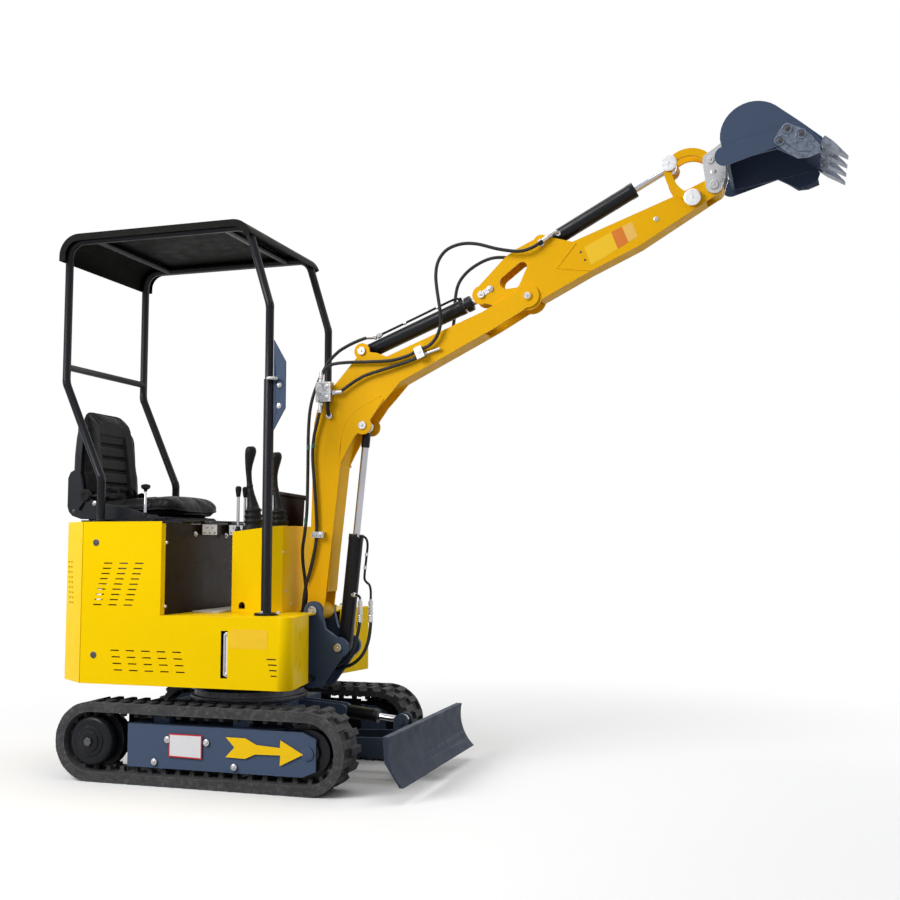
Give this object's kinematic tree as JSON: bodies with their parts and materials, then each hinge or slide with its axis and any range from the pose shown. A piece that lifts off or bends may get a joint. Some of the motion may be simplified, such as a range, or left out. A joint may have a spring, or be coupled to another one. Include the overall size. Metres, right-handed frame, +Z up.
{
  "type": "mini excavator",
  "caption": "Compact tracked excavator with an open canopy, a slewing house, a dozer blade and a boom, arm and bucket worked by cylinders, parked with its boom raised.",
  "frame": {"origin": "on the ground, under the middle of the whole machine as parked", "axes": "+X forward along the tracks, +Y to the left of the machine, +Z up"},
  "size_m": [3.2642, 0.9468, 2.5981],
  "materials": {
    "track_rubber": "matt moulded rubber",
    "slate_paint": "satin slate blue-grey paint",
    "bare_steel": "dark oiled steel",
    "black_paint": "semi-gloss black paint",
    "chrome": "polished hard chrome",
    "house_paint": "gloss golden yellow paint",
    "boom_paint": "gloss amber yellow paint",
    "engine_metal": "cast, plain block",
    "hose_rubber": "black hose cover",
    "plated_steel": "zinc plated steel",
    "mat_rubber": "ribbed rubber mat",
    "black_plastic": "moulded black plastic",
    "grey_plastic": "moulded grey plastic",
    "vinyl": "black seat vinyl",
    "tooth_steel": "worn cast steel"
  },
  "bodies": {
    "undercarriage": {"track_right": "track_rubber", "track_left": "track_rubber", "track_frame_right": "slate_paint", "track_frame_left": "slate_paint", "sprocket_right": "slate_paint", "sprocket_left": "slate_paint", "idler_right": "bare_steel", "idler_left": "bare_steel", "rollers_right": "bare_steel", "rollers_left": "bare_steel", "centre_frame": "slate_paint", "slew_ring": "bare_steel"},
    "blade": {"blade": "slate_paint"},
    "blade_barrel": {"blade_barrel": "black_paint"},
    "blade_rod": {"blade_rod": "chrome"},
    "house": {"house_platform": "black_paint", "side_panel_right": "house_paint", "side_panel_left": "house_paint", "rear_panel": "house_paint", "bulkhead": "black_paint", "deck": "house_paint", "floor_mat": "mat_rubber", "engine_block": "engine_metal", "counterweight": "bare_steel", "bay_rails": "black_paint", "boom_bracket": "slate_paint", "console": "house_paint", "guard_panel": "black_paint", "joysticks": "black_plastic", "travel_levers": "chrome", "throttle_lever": "black_paint", "canopy_hoops": "black_paint", "canopy_roof": "black_paint", "accessory_plate": "slate_paint", "hose_lift_rear": "hose_rubber", "hose_lift_front": "hose_rubber"},
    "seat": {"seat_deck": "black_paint", "seat_shell": "grey_plastic", "seat_cushion": "vinyl", "seat_back": "vinyl"},
    "boom": {"boom": "boom_paint", "hose_clamps": "plated_steel", "hose_run_upper": "hose_rubber", "hose_run_lower": "hose_rubber", "hose_loop_right": "hose_rubber", "hose_loop_left": "hose_rubber", "hose_foot_rear": "hose_rubber", "hose_foot_side": "hose_rubber"},
    "boom_barrel": {"boom_barrel": "black_paint"},
    "boom_rod": {"boom_rod": "chrome"},
    "arm": {"arm": "boom_paint"},
    "arm_barrel": {"arm_barrel": "black_paint"},
    "arm_rod": {"arm_rod": "chrome"},
    "bucket_barrel": {"bucket_barrel": "black_paint"},
    "bucket_rod": {"bucket_rod": "chrome"},
    "bucket_lever": {"bucket_lever": "boom_paint"},
    "bucket_link": {"bucket_link": "boom_paint"},
    "bucket": {"bucket": "slate_paint", "bucket_ears": "plated_steel", "bucket_teeth": "tooth_steel"}
  },
  "joints": [
    {"name": "slew", "type": "hinge", "parent": "undercarriage", "child": "house", "pos_m": [-0.84515, 0, 0.343], "axis": [0, 0, 1], "continuous": true},
    {"name": "blade_lift", "type": "hinge", "parent": "undercarriage", "child": "blade", "pos_m": [-0.51515, 0, 0.13], "axis": [0, -1, 0], "range_deg": [-15, 20]},
    {"name": "seat_tilt", "type": "hinge", "parent": "house", "child": "seat", "pos_m": [-1.01315, 0, 1.038], "axis": [0, 1, 0], "range_deg": [0, 50]},
    {"name": "boom_lift", "type": "hinge", "parent": "house", "child": "boom", "pos_m": [-0.51915, 0, 0.671], "axis": [0, -1, 0], "range_deg": [-90, 8], "deforming": ["hose_foot_rear", "hose_foot_side", "hose_lift_rear", "hose_lift_front"]},
    {"name": "arm_curl", "type": "hinge", "parent": "boom", "child": "arm", "pos_m": [0.40086, 0, 1.94799], "axis": [0, 1, 0], "range_deg": [-5, 115], "deforming": ["hose_loop_right", "hose_loop_left"]},
    {"name": "bucket_dump", "type": "hinge", "parent": "arm", "child": "bucket", "pos_m": [1.14411, 0, 2.33384], "axis": [0, -1, 0], "range_deg": [-145, 40]},
    {"name": "blade_barrel_swing", "type": "hinge", "parent": "undercarriage", "child": "blade_barrel", "pos_m": [-0.41115, 0, 0.256], "axis": [0, -1, 0], "range_deg": [-21.36, 28.14]},
    {"name": "blade_rod_slide", "type": "slide", "parent": "blade_barrel", "child": "blade_rod", "axis": [0.9945, 0, -0.1047], "range_m": [-0.0451, 0.0344]},
    {"name": "boom_barrel_swing", "type": "hinge", "parent": "house", "child": "boom_barrel", "pos_m": [-0.40415, 0, 0.522], "axis": [0, -1, 0], "range_deg": [-90.39, 8.95]},
    {"name": "boom_rod_slide", "type": "slide", "parent": "boom_barrel", "child": "boom_rod", "axis": [0.1015, 0, 0.9948], "range_m": [-0.268, 0.0256]},
    {"name": "arm_barrel_swing", "type": "hinge", "parent": "boom", "child": "arm_barrel", "pos_m": [-0.3161, 0, 1.75863], "axis": [0, -1, 0], "range_deg": [-1.09, 3.01]},
    {"name": "arm_rod_slide", "type": "slide", "parent": "arm_barrel", "child": "arm_rod", "axis": [0.9287, 0, 0.3709], "range_m": [-0.0164, 0.3343]},
    {"name": "bucket_barrel_swing", "type": "hinge", "parent": "arm", "child": "bucket_barrel", "pos_m": [0.45694, 0, 2.16226], "axis": [0, -1, 0], "range_deg": [-8.41, 3.04]},
    {"name": "bucket_rod_slide", "type": "slide", "parent": "bucket_barrel", "child": "bucket_rod", "axis": [0.882, 0, 0.4712], "range_m": [-0.0579, 0.2046]},
    {"name": "lever_swing", "type": "hinge", "parent": "arm", "child": "bucket_lever", "pos_m": [1.06125, 0, 2.29116], "axis": [0, -1, 0], "range_deg": [-82.09, 23.37]},
    {"name": "link_swing", "type": "hinge", "parent": "bucket_lever", "child": "bucket_link", "pos_m": [0.97085, 0, 2.43679], "axis": [0, -1, 0], "range_deg": [-4.45, 13.51]}
  ],
  "couplings": [
    {"joint": "blade_barrel_swing", "follows": "blade_lift", "ratio": 1.3572},
    {"joint": "blade_rod_slide", "follows": "blade_lift", "m_per_rad": -0.12361},
    {"joint": "boom_barrel_swing", "follows": "boom_lift", "ratio": 0.99322},
    {"joint": "boom_rod_slide", "follows": "boom_lift", "m_per_rad": 0.16937},
    {"joint": "arm_barrel_swing", "follows": "arm_curl", "ratio": 0.017453},
    {"joint": "arm_rod_slide", "follows": "arm_curl", "m_per_rad": 0.16556},
    {"joint": "bucket_barrel_swing", "follows": "bucket_dump", "ratio": 0.051125},
    {"joint": "bucket_rod_slide", "follows": "bucket_dump", "m_per_rad": -0.080063},
    {"joint": "lever_swing", "follows": "bucket_dump", "ratio": 0.55922},
    {"joint": "link_swing", "follows": "bucket_dump", "ratio": -0.086275}
  ]
}
